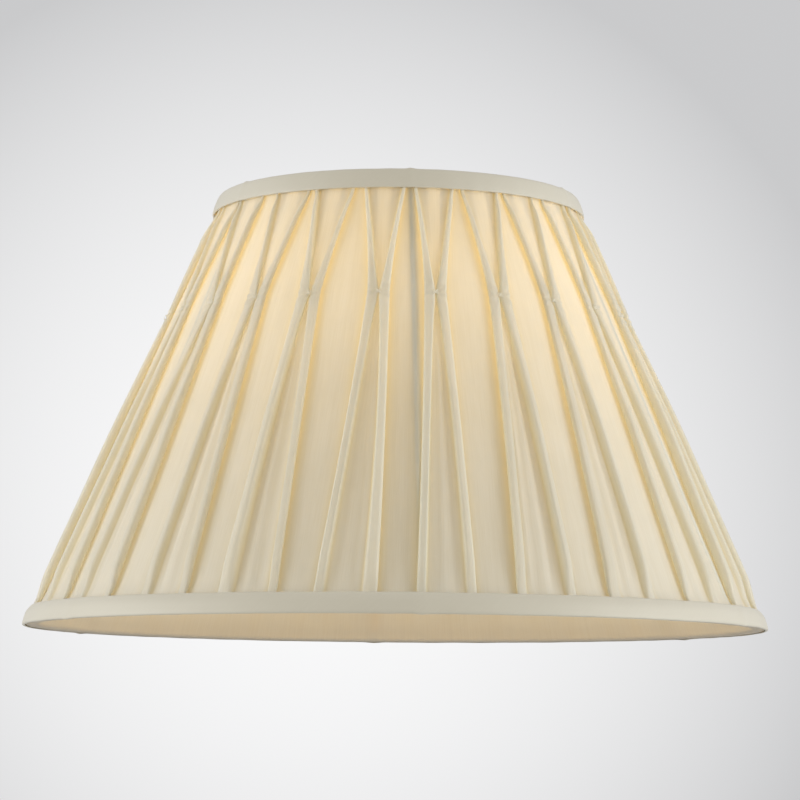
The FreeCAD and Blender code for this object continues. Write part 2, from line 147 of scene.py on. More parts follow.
def cloth_from_rows(name, rows, along, across, painted_light_marks=None):
    """Closed band of cloth through rows of points, with its own UV map in metres of cloth.

    backings marks the painted light at each point: up to 1 deep down beside a fold, where a yellow glow is
    painted,
    -1 where a strut's shadow is painted, and 0 in the open.
    """
    count = len(rows[0])
    vertices = [point for row in rows for point in row]
    faces = []
    for line in range(len(rows) - 1):
        for column in range(count):
            after = (column + 1) % count
            low = line * count
            high = low + count
            faces.append((low + column, low + after, high + after, high + column))
    mesh = bpy.data.meshes.new(name)
    mesh.from_pydata(vertices, [], faces)
    layer = mesh.uv_layers.new(name="Cloth")
    for face_index, face in enumerate(mesh.polygons):
        line, column = divmod(face_index, count)
        corners = (
            (along[column], across[line]),
            (along[column + 1], across[line]),
            (along[column + 1], across[line + 1]),
            (along[column], across[line + 1]),
        )
        for loop, place in zip(face.loop_indices, corners):
            layer.data[loop].uv = place
    # The painted glow and painted strut shadow, kept as an attribute for the silk's colour.
    if painted_light_marks:
        layer = mesh.attributes.new("painted_light_mark", "FLOAT", "POINT")
        for index, painted_light_mark in enumerate(painted_light_mark for row in painted_light_marks for painted_light_mark in row):
            layer.data[index].value = painted_light_mark
    mesh.shade_smooth()
    piece = bpy.data.objects.new(name, mesh)
    bpy.context.collection.objects.link(piece)
    return piece


# ---------------------------------------------------------------- camera

LENS_LENGTH = 145.2
CAMERA_PLACE = (0.0017, -1.782, -0.069)
CAMERA_LOOKS_UP = 6.293
CAMERA_ROLL = 0.456


def set_camera():
    """A long lens a little below the base rim, looking up at the middle of the shade."""
    camera = bpy.data.cameras.new("camera")
    camera.lens = LENS_LENGTH
    camera.sensor_width = 36
    camera.clip_start = 0.1
    camera.clip_end = 100
    holder = bpy.data.objects.new("camera", camera)
    bpy.context.collection.objects.link(holder)
    pitch = Matrix.Rotation(math.radians(90 + CAMERA_LOOKS_UP), 4, "X")
    roll = Matrix.Rotation(math.radians(CAMERA_ROLL), 4, "Z")
    holder.matrix_world = Matrix.Translation(CAMERA_PLACE) @ (pitch @ roll)
    bpy.context.scene.camera = holder


set_camera()


# ---------------------------------------------------------------- shader kit

class Socket:
    """An output of a shader node that can be used in plain arithmetic."""

    def __init__(self, graph, output):
        self.graph = graph
        self.output = output

    def _math(self, operation, first, second):
        return self.graph.node("ShaderNodeMath", {"operation": operation}, {0: first, 1: second})

    def __add__(self, other):
        return self._math("ADD", self, other)

    def __radd__(self, other):
        return self._math("ADD", other, self)

    def __sub__(self, other):
        return self._math("SUBTRACT", self, other)

    def __rsub__(self, other):
        return self._math("SUBTRACT", other, self)

    def __mul__(self, other):
        return self._math("MULTIPLY", self, other)

    def __rmul__(self, other):
        return self._math("MULTIPLY", other, self)

    def __pow__(self, other):
        return self._math("POWER", self, other)


class Finish:
    """The nodes of one material, or of the world."""

    def __init__(self, block, end="ShaderNodeOutputMaterial"):
        block.use_nodes = True
        self.block = block
        self.tree = block.node_tree
        self.tree.nodes.clear()
        self.out = self.tree.nodes.new(end)

    def node(self, kind, settings=None, sockets=None, output=0):
        """Adds a node, sets its settings and then its sockets, and gives one of its outputs."""
        made = self.tree.nodes.new(kind)
        for key, value in (settings or {}).items():
            setattr(made, key, value)
        for key, value in (sockets or {}).items():
            if isinstance(value, Socket):
                self.tree.links.new(value.output, made.inputs[key])
            else:
                made.inputs[key].default_value = value
        return Socket(self, made.outputs[output])

    def cloth_place(self):
        return self.node("ShaderNodeUVMap", {"uv_map": "Cloth"})

    def object_place(self):
        return self.node("ShaderNodeTexCoord", output="Object")

    def mottle(self, place, scale, detail, dimensions="3D"):
        return self.node("ShaderNodeTexNoise", {"noise_dimensions": dimensions}, {
            "Vector": place, "Scale": scale, "Detail": detail,
        }, output="Fac")

    def slubs(self, place, along, across):
        """Thicker stretches of yarn, with how many there are to the metre along and across."""
        stretched = self.node("ShaderNodeMapping", {}, {"Vector": place, "Scale": (along, across, 1)})
        return self.node("ShaderNodeTexNoise", {"noise_dimensions": "2D"}, {
            "Vector": stretched, "Scale": 1.0, "Detail": 3.0, "Roughness": 0.6,
        }, output="Fac")

    def bands(self, place, direction, scale, distortion, detail):
        return self.node("ShaderNodeTexWave", {"wave_type": "BANDS", "bands_direction": direction}, {
            "Vector": place, "Scale": scale, "Distortion": distortion, "Detail": detail,
        }, output="Fac")

    def weave(self, place, threads, depth):
        """Over-and-under weave: threads per metre and how deep the gaps are, as one height."""
        warp = self.bands(place, "X", threads, 0.4, 1.0)
        weft = self.bands(place, "Y", threads * 0.9, 0.4, 1.0)
        return (warp + weft) * depth

    def relief(self, height, strength, distance):
        return self.node("ShaderNodeBump", {}, {
            "Strength": strength, "Distance": distance, "Height": height,
        }, output="Normal")

    def spread(self, value, low, high, ease="LINEAR"):
        """0 at low or before it, 1 at high or past it."""
        return self.node("ShaderNodeMapRange", {"interpolation_type": ease}, {
            "Value": value, "From Min": low, "From Max": high,
        })

    def tint(self, factor, low, high):
        """Colour that runs from one to another, each a socket or three numbers."""
        first, last = [end if isinstance(end, Socket) else (*end, 1) for end in (low, high)]
        return self.node("ShaderNodeMix", {"data_type": "RGBA"}, {
            "Factor": factor, 6: first, 7: last,
        }, output=2)

    def surface(self, sockets):
        return self.node("ShaderNodeBsdfPrincipled", {}, sockets, output="BSDF")

    def finish(self, shader):
        self.tree.links.new(shader.output, self.out.inputs["Surface"])
        return self.block


# ---------------------------------------------------------------- finishes

# Grey painted into the silk along each strut: a painted strut shadow.
WIRE_SHADOW = (0.74, 0.74, 0.66)


def silk_cloth(name, pale, deep, through, painted_glow_tint, share, roughness):
    """Thin silk lit from both sides.

    pale and deep are its two tones, and through is the colour of light that has passed it. warm is a painted
    yellow glow, put into its colour down beside a fold where light would go from wall to wall. share is how
    much of the light it lets through in the open; it is raised there as painted glow too, and lowered where a
    painted strut shadow lies.
    """
    graph = Finish(bpy.data.materials.new(name))
    place = graph.cloth_place()
    yarn = graph.slubs(place, 1900, 45)
    streaks = graph.slubs(place, 420, 7)
    cloud = graph.mottle(place, 26.0, 2.0, "2D")
    tone = yarn * 0.5 + cloud * 0.2 + streaks * 0.3
    # A mark of painted light: towards 1 beside a fold it paints a yellow glow, towards -1 over a strut it
    # paints the strut's shadow.
    painted_light_mark = graph.node("ShaderNodeAttribute", {"attribute_name": "painted_light_mark"}, output="Fac")
    crevice = graph.spread(painted_light_mark, 0.0, 1.0)
    wire = graph.spread(painted_light_mark, 0.0, -1.0)
    bump = graph.relief(graph.weave(place, 850, 0.5) + yarn * 1.6 + streaks, 0.22, 0.00012)
    dyed = graph.tint(graph.spread(tone, 0.38, 0.62, "SMOOTHSTEP"), deep, pale)
    # Painted strut shadow: the silk's colour greyed along each strut.
    plain = graph.tint(wire * 0.5, dyed, WIRE_SHADOW)
    # Painted glow: the colour turns yellow down beside each fold.
    front = graph.surface({
        "Base Color": graph.tint(crevice * 0.75, plain, painted_glow_tint),
        "Roughness": tone * 0.12 + (roughness - 0.06),
        "Sheen Weight": 0.22,
        "Sheen Roughness": 0.35,
        "Specular IOR Level": 0.35,
        "Normal": bump,
    })
    back = graph.node("ShaderNodeBsdfTranslucent", {}, {"Color": (*through, 1), "Normal": bump})
    # More light is let through beside the folds and less over the struts, as painted glow and painted shadow.
    passed = crevice * 0.22 + share - wire * 0.2
    return graph.finish(graph.node("ShaderNodeMixShader", {}, {0: passed, 1: front, 2: back}))


def satin_band(name, pale, deep):
    """Bias-cut satin over several layers, so no light comes through it."""
    graph = Finish(bpy.data.materials.new(name))
    bias = graph.node("ShaderNodeMapping", {}, {
        "Vector": graph.cloth_place(), "Rotation": (0, 0, 0.785),
    })
    yarn = graph.slubs(bias, 1500, 60)
    tone = yarn * 0.5 + graph.mottle(graph.cloth_place(), 18.0, 2.0, "2D") * 0.5
    return graph.finish(graph.surface({
        "Base Color": graph.tint(tone, deep, pale),
        "Roughness": tone * 0.12 + 0.42,
        "Sheen Weight": 0.25,
        "Sheen Roughness": 0.4,
        "Specular IOR Level": 0.4,
        "Normal": graph.relief(graph.weave(bias, 700, 0.5) + yarn, 0.2, 0.00015),
    }))


def hard_finish(name, pale, deep, roughness, grain, depth):
    """Paint or plastic with a fine orange peel and faint clouds of tone."""
    graph = Finish(bpy.data.materials.new(name))
    place = graph.object_place()
    cloud = graph.mottle(place, 40.0, 3.0)
    return graph.finish(graph.surface({
        "Base Color": graph.tint(cloud, deep, pale),
        "Roughness": cloud * 0.15 + (roughness - 0.07),
        "Normal": graph.relief(graph.mottle(place, grain, 2.0), 0.25, depth),
    }))


def cotton_tape(name, pale, deep):
    """Coarse cotton tape or twisted thread, from the object's own coordinates."""
    graph = Finish(bpy.data.materials.new(name))
    place = graph.object_place()
    yarn = graph.mottle(place, 900.0, 3.0)
    ribs = graph.bands(place, "DIAGONAL", 350.0, 1.5, 2.0)
    return graph.finish(graph.surface({
        "Base Color": graph.tint(yarn, deep, pale),
        "Roughness": yarn * 0.1 + 0.75,
        "Sheen Weight": 0.3,
        "Normal": graph.relief(ribs + yarn * 0.5, 0.5, 0.0002),
    }))


cover_silk = silk_cloth(
    "ivory silk",
    pale=(0.95, 0.95, 0.89),
    deep=(0.88, 0.875, 0.80),
    through=(0.96, 0.915, 0.79),
    painted_glow_tint=(0.97, 0.87, 0.55),
    share=0.44,
    roughness=0.5,
)
lining_satin = silk_cloth(
    "peach lining satin",
    pale=(0.85, 0.785, 0.685),
    deep=(0.80, 0.725, 0.62),
    through=(0.92, 0.835, 0.67),
    painted_glow_tint=(0.85, 0.76, 0.60),
    share=0.45,
    roughness=0.45,
)
trim_satin = satin_band("ivory trim satin", (0.715, 0.675, 0.575), (0.655, 0.615, 0.515))
ivory_thread = cotton_tape("ivory sewing thread", (0.94, 0.90, 0.78), (0.87, 0.83, 0.71))
binding_cotton = cotton_tape("cotton binding tape", (0.80, 0.77, 0.68), (0.70, 0.66, 0.56))
lining_tape = cotton_tape("peach lining tape", (0.83, 0.74, 0.60), (0.76, 0.66, 0.52))
dipped_wire = hard_finish(
    "white dipped wire", (0.80, 0.79, 0.75), (0.72, 0.71, 0.67), roughness=0.4, grain=700, depth=0.0001
)
painted_steel = hard_finish(
    "white painted steel", (0.82, 0.81, 0.77), (0.76, 0.75, 0.71), roughness=0.35, grain=1200, depth=0.00005
)
moulded_plastic = hard_finish(
    "white moulded plastic", (0.84, 0.83, 0.79), (0.80, 0.79, 0.75), roughness=0.45, grain=1500, depth=0.00004
)


# ---------------------------------------------------------------- pleated cover

# How far each pleat strays, in degrees: its pinch from an even spacing, then its
# top and its foot from its pinch. The first pleat is the one left of the front.
PLEAT_DRIFT = (
    (1.0, 0.4, -2.7), (-0.8, 1.8, -1.4), (-0.2, 0.5, -2.0), (-0.2, -0.7, -2.2),
    (0.0, 0.3, -1.2), (1.2, -0.5, -2.0), (-0.5, 0.8, -1.6), (0.4, 1.2, -0.9),
    (-0.3, 0.2, -2.3), (0.6, -0.3, -1.8), (-0.7, 1.5, -1.2), (0.2, 0.9, -2.4),
    (0.5, 0.1, -1.5), (-0.4, 1.1, -0.8), (0.1, -0.4, -2.1), (-0.6, 1.6, -1.7),
    (0.8, 0.6, -2.5), (-0.1, 0.0, -1.1), (0.3, 1.3, -1.9), (-0.5, 0.7, -1.3),
    (1.0, 0.5, -0.5), (0.4, -1.0, -2.0), (0.0, 1.9, -0.7), (-0.6, 1.8, -0.8),
)

# How far down the flat panels between pleats lie: in the open, over the rings,
# and the least that any cloth may lie under a trim.
GAP_DEPTH = 4.5 * MM
GAP_DEPTH_AT_RINGS = 2.7 * MM
TUCKED_DEPTH = 1.5 * MM
RING_ZONE = (4 * MM, 16 * MM)

# A pleat's shape in millimetres: half widths out to its crevices, how far the
# cloth tucks back under a fold, and the width of the flat strip along a fold.
TOP_HALF = 10.5
PINCH_HALF = 5.7
FOOT_HALF = 15.2
TOP_OVERLAP = 6.6
PINCH_OVERLAP = 1.0
FOOT_OVERLAP = 4.2
TOP_STRIP = 1.7
LEG_STRIP = 4.6

# Heights of a pleat above the flat panels, in millimetres: a fold, what it gains
# below the pinch, the valley along a strip, and the push sideways at the pinch.
ROLL_HEIGHT = 4.0
BELLY = 1.7
VALLEY = 1.1
BUCKLE = 4.4
TOP_PANEL = 1.3
PINCH_PANEL = 1.6
FOOT_PANEL = 1.5

# Points across half of a pleat's middle panel: a share of its width, a share of
# the buckle, and a height in the loop that the pinch makes.
PANEL_POINTS = ((0.3, 0.6, 0.5), (0.6, 1.0, 0.5), (0.84, 1.05, 0.7), (0.95, 0.6, 1.0))
FLUTE_BIAS = (0.4, -0.9, 0.8, 0.1)
FLUTE_STRAY = 0.7

# How much painted glow each point of half a pleat gets down in a crevice, from its middle outwards.
SECTION_PAINTED_GLOW = (0, 0, 0.15, 0.5, 0.7, 0.1, 0, 0, 0, 0, 0.4, 1, 1, 1, 1, 1)

# Small folds that run out from a stitch.
CREASES = 9
CREASE_HEIGHT = 0.6
STITCH_HOLLOW = 0.9
CREASED_ABOVE = 1.2

# Points across the flat panel between two pleats, as shares of it, and the extra
# ones over a strut, in millimetres from its wire.
GAP_SHARES = (0.08, 0.2, 0.35, 0.5, 0.65, 0.8, 0.92)
GAP_MARGIN = 0.04
STRUT_OFFSETS = (-3.2, -2.2, -1.5, -0.8, 0.0, 0.8, 1.5, 2.2, 3.2)

# The cover's levels, and the one near its foot whose length gives the cloth's width.
COVER_ROWS = 96
COVER_HEM = 1.0 * MM
WIDTH_ROW = 7


def pleat_angle(index, drift):
    return FIRST_PLEAT + index * PLEAT_STEP + math.radians(drift)


def pleat_lines(rise, fall, pleat, side):
    """Half widths in millimetres of a pleat's outer crevice, its fold line and its overlap.

    rise runs from 0 at the crown to 1 at the pinch, and fall from 0 at the pinch to 1 at the foot.
    """
    top_stray, foot_stray = pleat["wide"]
    if rise < 1:
        top = TOP_HALF + top_stray
        outer = blend(top, PINCH_HALF, 1 - (1 - rise) ** 1.6)
        inner = blend(top - TOP_STRIP, 0.0, rise)
        overlap = blend(TOP_OVERLAP, PINCH_OVERLAP, rise)
    else:
        outer = blend(PINCH_HALF, FOOT_HALF + foot_stray, fall ** 1.08)
        strip = LEG_STRIP + 1.1 * (1 - fall) ** 5 - 0.5 * math.sin(math.pi * fall)
        strip += pleat["flare"][side] * fall ** 2
        inner = max(0.0, outer - strip)
        overlap = blend(PINCH_OVERLAP, FOOT_OVERLAP, smooth(0, 0.35, fall))
    return outer, inner, overlap


def pleat_section(rise, fall, pleat, side):
    """Half of a pleat's section as (across, height, painted glow share), from its middle outwards.

    The middle panel comes first, then the fold with a valley along its strip, and last the
    cloth that tucks back under it. Sizes are in millimetres.
    """
    outer, inner, overlap = pleat_lines(rise, fall, pleat, side)
    strip = outer - inner
    near_pinch = smooth(0.5, 1, rise) * (1 - smooth(0, 0.25, fall))
    at_pinch = near_pinch ** 4
    press = 1 - 0.5 * (1 - smooth(0, 0.2, rise)) - 0.4 * smooth(0.88, 1, fall)
    lift = (ROLL_HEIGHT + BELLY * smooth(0, 0.45, fall)) * press * pleat["lift"][side]
    lift *= 1 - 0.12 * at_pinch
    valley = VALLEY * (1 - 0.5 * at_pinch) * pleat["valley"][side] * smooth(2.0, 4.5, strip)
    if rise < 1:
        panel = press * blend(TOP_PANEL, PINCH_PANEL, rise)
    else:
        panel = press * blend(PINCH_PANEL, FOOT_PANEL, smooth(0, 0.4, fall))
    fluting = smooth(0.02, 0.3, fall) * (1 - 0.5 * smooth(0.92, 1, fall))
    fluting += 0.25 * (1 - smooth(0, 0.8, rise))
    points = []
    for (share, push, level), flute in zip(PANEL_POINTS, pleat["flutes"][side]):
        height = blend(panel + flute * fluting, level, near_pinch)
        points.append((inner * share + BUCKLE * near_pinch * push, height))
    edge = blend(panel + 0.1, 1.6, near_pinch)
    rounded = inner + blend(0.12, 0.0, at_pinch) * strip
    drawn_in = (6 * inner - points[-1][0] - rounded) / 4
    points.extend((
        (blend(inner, drawn_in, near_pinch), edge),
        (rounded, blend(edge, lift, 0.75)),
        (inner + 0.27 * strip, lift * 1.04),
        (inner + 0.52 * strip, lift - valley),
        (inner + 0.80 * strip, lift),
        (outer + 0.25, lift * 0.84),
        (outer + 0.2, lift * 0.3),
        (outer - 0.2 * strip, 0.34),
        (outer - overlap, 0.30),
        (outer - overlap - 0.25, 0.15),
        (outer - overlap * 0.9, 0.0),
        (outer + 0.1, -0.05),
    ))
    sign = 1 if side else -1
    return [(sign * across, height, share) for (across, height), share in zip(points, SECTION_PAINTED_GLOW)]


def pinch_crease(across, drop, turn):
    """Height in millimetres of the small folds round a stitch, with a hollow where it pulls."""
    reach = math.hypot(across, drop)
    folds = CREASE_HEIGHT * math.sin(CREASES * math.atan2(drop, across) + turn) * bell(reach, 5, 3.6)
    return folds - STITCH_HOLLOW * bell(reach, 0, 2.6)


def pleat_points(height, rise, fall, radius, pleat):
    """A whole pleat's section as (angle, height, backing), from left to right, the last its painted glow."""
    lean = pleat["top"] * (1 - rise) if rise < 1 else pleat["foot"] * fall
    middle = pleat["angle"] + lean
    left = pleat_section(rise, fall, pleat, 0)
    right = pleat_section(rise, fall, pleat, 1)
    left.reverse()
    ridge = left[-1][1] * 0.3 + right[0][1] * 0.7 + pleat["ridge"] * smooth(0.05, 0.4, fall)
    drop = (height - PINCH_HEIGHT) / MM
    shift = (middle - pleat["angle"]) * radius / MM
    points = []
    for across, lifted, painted_light_mark in left + [(0, ridge, 0)] + right:
        if lifted > CREASED_ABOVE:
            lifted += pinch_crease(across + shift, drop, pleat["crease"])
        points.append((middle + across * MM / radius, lifted, painted_light_mark))
    return points


def gap_points(start, end, radius, pleat, over_strut):
    """The flat panel from one pleat to the next, lying over a strut where one stands behind it."""
    strut = pleat["strut"]
    angles = [blend(start, end, share) for share in GAP_SHARES]
    if strut is not None:
        margin = GAP_MARGIN * (end - start)
        for offset in STRUT_OFFSETS:
            angles.append(min(end - margin, max(start + margin, strut + offset * MM / radius)))
        angles.sort()
    points = []
    for angle in angles:
        share = (angle - start) / (end - start)
        nearest = min(angle - start, end - angle) * radius / MM
        lifted = pleat["swell"] * math.sin(math.pi * share) ** 0.8
        # Painted glow, strongest at the crevices beside the folds.
        painted_light_mark = math.exp(-nearest / 1.3)
        if strut is not None:
            off = (angle - strut) * radius / MM
            tent = 0.75 * bell(off, 0, 1.5) - 0.35 * bell(off, 0, 5)
            lifted = lifted * (1 - bell(off, 0, 6)) + tent * over_strut
            # Painted strut shadow along the wire behind.
            painted_light_mark -= 1 - smooth(0.8, 1.8, abs(off))
        points.append((angle, lifted, painted_light_mark))
    return points


def eased(ring):
    """The angle and height of each point of a closed level, drawn towards its neighbours."""
    last = len(ring) - 1
    points = []
    for index, (angle, lifted, painted_light_mark) in enumerate(ring):
        before = ring[index - 1]
        after = ring[(index + 1) % len(ring)]
        turn_back = FULL_TURN if index == 0 else 0
        turn_on = FULL_TURN if index == last else 0
        points.append((
            (before[0] - turn_back + 4 * angle + after[0] + turn_on) / 6,
            (before[1] + 4 * lifted + after[1]) / 6,
        ))
    return points


def cover_row(height, pleats):
    """One level round the cover: its points, and the painted light mark of each."""
    rise = part_way(CROWN_EDGE, PINCH_HEIGHT, height)
    fall = part_way(PINCH_HEIGHT, TRIM_RISE, height)
    off_rings = smooth(RING_ZONE[0], RING_ZONE[1], min(height, SHADE_HEIGHT - height))
    ground = blend(GAP_DEPTH_AT_RINGS, GAP_DEPTH, off_rings)
    radius = slope_radius(height, ground)
    sections = [pleat_points(height, rise, fall, radius, pleat) for pleat in pleats]
    ring = []
    for index, section in enumerate(sections):
        start = section[-1][0]
        end = sections[(index + 1) % PLEATS][0][0]
        if index == PLEATS - 1:
            end += FULL_TURN
        ring.extend(section)
        ring.extend(gap_points(start, end, radius, pleats[index], off_rings))
    under_trim = max(TRIM_RISE - height, height - CROWN_EDGE)
    least = blend(TUCKED_DEPTH, -4 * MM, smooth(0.5 * MM, 9 * MM, -under_trim))
    points = []
    for angle, lifted in eased(ring):
        depth = ground - (lifted + 0.18 * ripple_at(angle, height, 9, 28)) * MM
        points.append(on_slope(angle, height, max(depth, least + 0.25 * (depth - least))))
    return points, [painted_light_mark for angle, lifted, painted_light_mark in ring]


def cover_heights():
    """Levels of the cover's rows from top to bottom, closest together at the pinches."""
    low = COVER_HEM
    high = SHADE_HEIGHT - COVER_HEM
    steps = 4000
    weights = []
    for step in range(steps):
        height = blend(high, low, (step + 0.5) / steps)
        at_pinch = bell(height, PINCH_HEIGHT, 9 * MM)
        weights.append(1 + 2.2 * at_pinch + 0.8 * bell(height, CROWN_EDGE, 8 * MM))
    total = sum(weights)
    spaces = COVER_ROWS - 1
    heights = [high]
    gathered = 0
    for step, weight in enumerate(weights):
        gathered += weight
        while len(heights) < spaces and gathered >= total * len(heights) / spaces:
            heights.append(blend(high, low, (step + 1) / steps))
    heights.append(low)
    return heights


def make_pleats():
    """What is particular to each pleat. A pair of values is for its left and its right."""
    chance = random.Random(24)
    pleats = []
    for index, (drift, top, foot) in enumerate(PLEAT_DRIFT):
        strut, beyond = divmod(index, PLEATS_TO_A_STRUT)
        pleats.append({
            "angle": pleat_angle(index, drift),
            "top": math.radians(top),
            "foot": math.radians(foot),
            "wide": (chance.uniform(-0.4, 0.4), chance.uniform(-1.0, 0.8)),
            "strut": None if beyond else WIRE_LINE + strut * FULL_TURN / STRUTS,
            "ridge": chance.uniform(0.4, 1.0),
            "swell": chance.uniform(0.35, 0.75),
            "flutes": [
                [chance.uniform(-FLUTE_STRAY, FLUTE_STRAY) + bias for bias in FLUTE_BIAS]
                for side in range(2)
            ],
            "lift": [chance.uniform(0.85, 1.15) for side in range(2)],
            "valley": [chance.uniform(0.5, 1.4) for side in range(2)],
            "flare": [chance.choice((0.2, 0.6, 1.2, 3.4)) for side in range(2)],
            "crease": chance.uniform(0, FULL_TURN),
        })
    return pleats


def make_cover():
    """One strip of silk folded into box pleats, each pinched to a stitch."""
    pleats = make_pleats()
    heights = cover_heights()
    heights.reverse()
    levels = [cover_row(height, pleats) for height in heights]
    rows = [points for points, painted_light_marks in levels]
    # Painted glow beside the folds and painted strut shadow, for each point.
    painted_light_marks = [painted_light_marks for points, painted_light_marks in levels]
    foot_row = rows[WIDTH_ROW]
    along = [0]
    for index, point in enumerate(foot_row):
        after = foot_row[(index + 1) % len(foot_row)]
        along.append(along[-1] + (after - point).length)
    across = [(SHADE_HEIGHT - height) * SECANT for height in heights]
    cover = cloth_from_rows("pleated_cover_silk", rows, along, across, painted_light_marks)
    give(cover, cover_silk)
    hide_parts("pleated_cover")
    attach(cover, "shade")


make_cover()


# ---------------------------------------------------------------- lining

LINING_HEM = 0.35 * MM
LINING_OUTSIDE = 1.3 * MM
LINING_INSIDE = 8.8 * MM
LINING_ROLL = 2.6 * MM
LINING_TURN_STEPS = 12
LINING_RISE_STEPS = 40
LINING_COLUMNS = 360


def rolled_over(sign, ring_height):
    """Profile of the lining over a ring, from its hem at the trim to its inner face."""
    middle = (LINING_OUTSIDE + LINING_INSIDE) / 2
    points = []
    for step in range(LINING_TURN_STEPS + 1):
        angle = math.pi * step / LINING_TURN_STEPS
        across_ring = math.copysign(abs(math.cos(angle)) ** 0.6, math.cos(angle))
        depth = middle - across_ring * (LINING_INSIDE - LINING_OUTSIDE) / 2
        out = max(0, math.sin(angle)) ** 0.6 * LINING_ROLL
        points.append((ring_height - sign * out, depth))
    return points


def lining_profile():
    """The lining's (height, depth) from its hem at the base, up the inside, to its hem at the top."""
    base = rolled_over(1, LINING_HEM + LINING_ROLL)
    crown = rolled_over(-1, SHADE_HEIGHT - LINING_HEM - LINING_ROLL)
    crown.reverse()
    low = base[-1][0]
    high = crown[0][0]
    inside = []
    for step in range(1, LINING_RISE_STEPS):
        inside.append((blend(low, high, step / LINING_RISE_STEPS), LINING_INSIDE))
    return base + inside + crown


def make_lining():
    """Smooth lining drawn tight inside the struts and rolled over both rings."""
    profile = lining_profile()
    rows = []
    for height, depth in profile:
        middle = math.sin(math.pi * part_way(0, SHADE_HEIGHT, height))
        row = []
        for angle in turn_angles(LINING_COLUMNS):
            between = 0.5 - 0.5 * math.cos(FULL_TURN * struts_past(angle))
            slack = 0.64 * between + 0.36 * ripple_at(angle, height, 5, 6)
            slack = slack * middle * smooth(6, 8.8, depth / MM)
            seam = 0.45 * bell((angle - SEAM_ANGLE) * slope_radius(height) / MM, 0, 2.2)
            row.append(on_slope(angle, height, depth + (seam - slack) * MM))
        row.reverse()
        rows.append(row)
    along = girths(LINING_COLUMNS, BASE_RADIUS)
    lining = cloth_from_rows("lining_satin", rows, along, runs_along(profile))
    give(lining, lining_satin)
    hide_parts("lining")
    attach(lining, "shade")


make_lining()


# ---------------------------------------------------------------- trims

TRIM_COLUMNS = 480
TRIM_OVERHANG = 0.1 * MM

# From a trim's free edge to the rim and under it: a share of its height and a depth in millimetres.
TRIM_PROFILE = (
    (0.995, 1.9), (1.0, 1.45), (0.99, 1.1), (0.96, 0.85), (0.9, 0.62), (0.75, 0.3),
    (0.6, 0.08), (0.45, -0.06), (0.3, -0.1), (0.18, -0.04), (0.1, 0.12), (0.045, 0.4),
    (0.015, 0.8), (0.0, 1.35), (0.012, 1.9),
)


def make_trim(name, node, rim_height, edge_height, plump):
    """Bias band round a rim, up or down to its free edge.

    plump is how far the band swells near its free edge, in millimetres.
    """
    reach = edge_height - rim_height
    profile = [(share, deep - plump * bell(share, 0.7, 0.32)) for share, deep in TRIM_PROFILE]
    if reach > 0:
        profile.reverse()
    rows = []
    for share, deep in profile:
        height = rim_height + reach * share
        row = []
        for angle in turn_angles(TRIM_COLUMNS):
            ripple = ripple_at(angle, height, 14, 40)
            from_strut = (struts_past(angle) + 0.5) % 1 - 0.5
            depth = deep + 0.12 * ripple - 0.3 * bell(from_strut, 0, 0.02)
            stands = 0.45 * bell(from_strut, 0, 0.018) * bell(share, 0, 0.3) + 0.15 * ripple
            row.append(on_slope(angle, height - stands * MM * math.copysign(1, reach), depth * MM))
        rows.append(row)
    along = girths(TRIM_COLUMNS, slope_radius(rim_height))
    across = runs_along([(reach * share, deep * MM) for share, deep in profile])
    trim = cloth_from_rows(name, rows, along, across)
    give(trim, trim_satin)
    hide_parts(node)
    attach(trim, "shade")
    girth = FULL_TURN * slope_radius((rim_height + edge_height) / 2)


make_trim("bottom_trim_band", "bottom_trim", TRIM_OVERHANG, TRIM_RISE, 0.9)
make_trim("top_trim_band", "top_trim", SHADE_HEIGHT - TRIM_OVERHANG, CROWN_EDGE, 0.0)


# ---------------------------------------------------------------- pinch threads

THREAD_DEPTH = 1.2 * MM
LOOP_RADIUS = 1.7 * MM
THREAD_RADIUS = 0.2 * MM
LOOP_TILTS = (-48, 48)
LOOP_FLATNESS = 0.42


def place_in_mesh(piece, matrix):
    """Moves a piece's mesh and leaves its object at the origin."""
    piece.data.transform(matrix)
    piece.matrix_world = Matrix.Identity(4)


def join_pieces(pieces, name):
    clear_selection()
    for piece in pieces:
        piece.select_set(True)
    bpy.context.view_layer.objects.active = pieces[0]
    bpy.ops.object.join()
    joined = bpy.context.object
    joined.name = name
    joined.data.name = name
    clear_selection()
    return joined


def make_stitch():
    """Two crossed loops of thread, lying on the front with their middle at the origin."""
    loops = []
    for tilt in LOOP_TILTS:
        clear_selection()
        bpy.ops.mesh.primitive_torus_add(
            major_segments=28, minor_segments=8, major_radius=LOOP_RADIUS, minor_radius=THREAD_RADIUS
        )
        loop = bpy.context.object
        flat = Matrix.Diagonal((1, LOOP_FLATNESS, 1, 1))
        place_in_mesh(loop, Matrix.Rotation(math.radians(tilt), 4, "Y") @ flat)
        loops.append(loop)
    stitch = join_pieces(loops, "pinch_thread_first")
    stitch.data.shade_smooth()
    return stitch


def make_threads():
    """The stitch copied to every pinch and turned to lie on the slope there."""
    first = make_stitch()
    lean = Matrix.Rotation(-math.atan(SLOPE), 4, "X")
    threads = []
    for index, (drift, top, foot) in enumerate(PLEAT_DRIFT):
        angle = pleat_angle(index, drift)
        spot = Matrix.Translation(on_slope(angle, PINCH_HEIGHT, THREAD_DEPTH))
        thread = bpy.data.objects.new("pinch_thread_%d" % (index + 1), first.data.copy())
        bpy.context.collection.objects.link(thread)
        place_in_mesh(thread, spot @ (Matrix.Rotation(angle - FRONT, 4, "Z") @ lean))
        threads.append(thread)
    bpy.data.objects.remove(first)
    stitches = join_pieces(threads, "pinch_threads")
    give(stitches, ivory_thread)
    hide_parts("pinch_stitches")
    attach(stitches, "shade")


make_threads()


# ---------------------------------------------------------------- hard parts

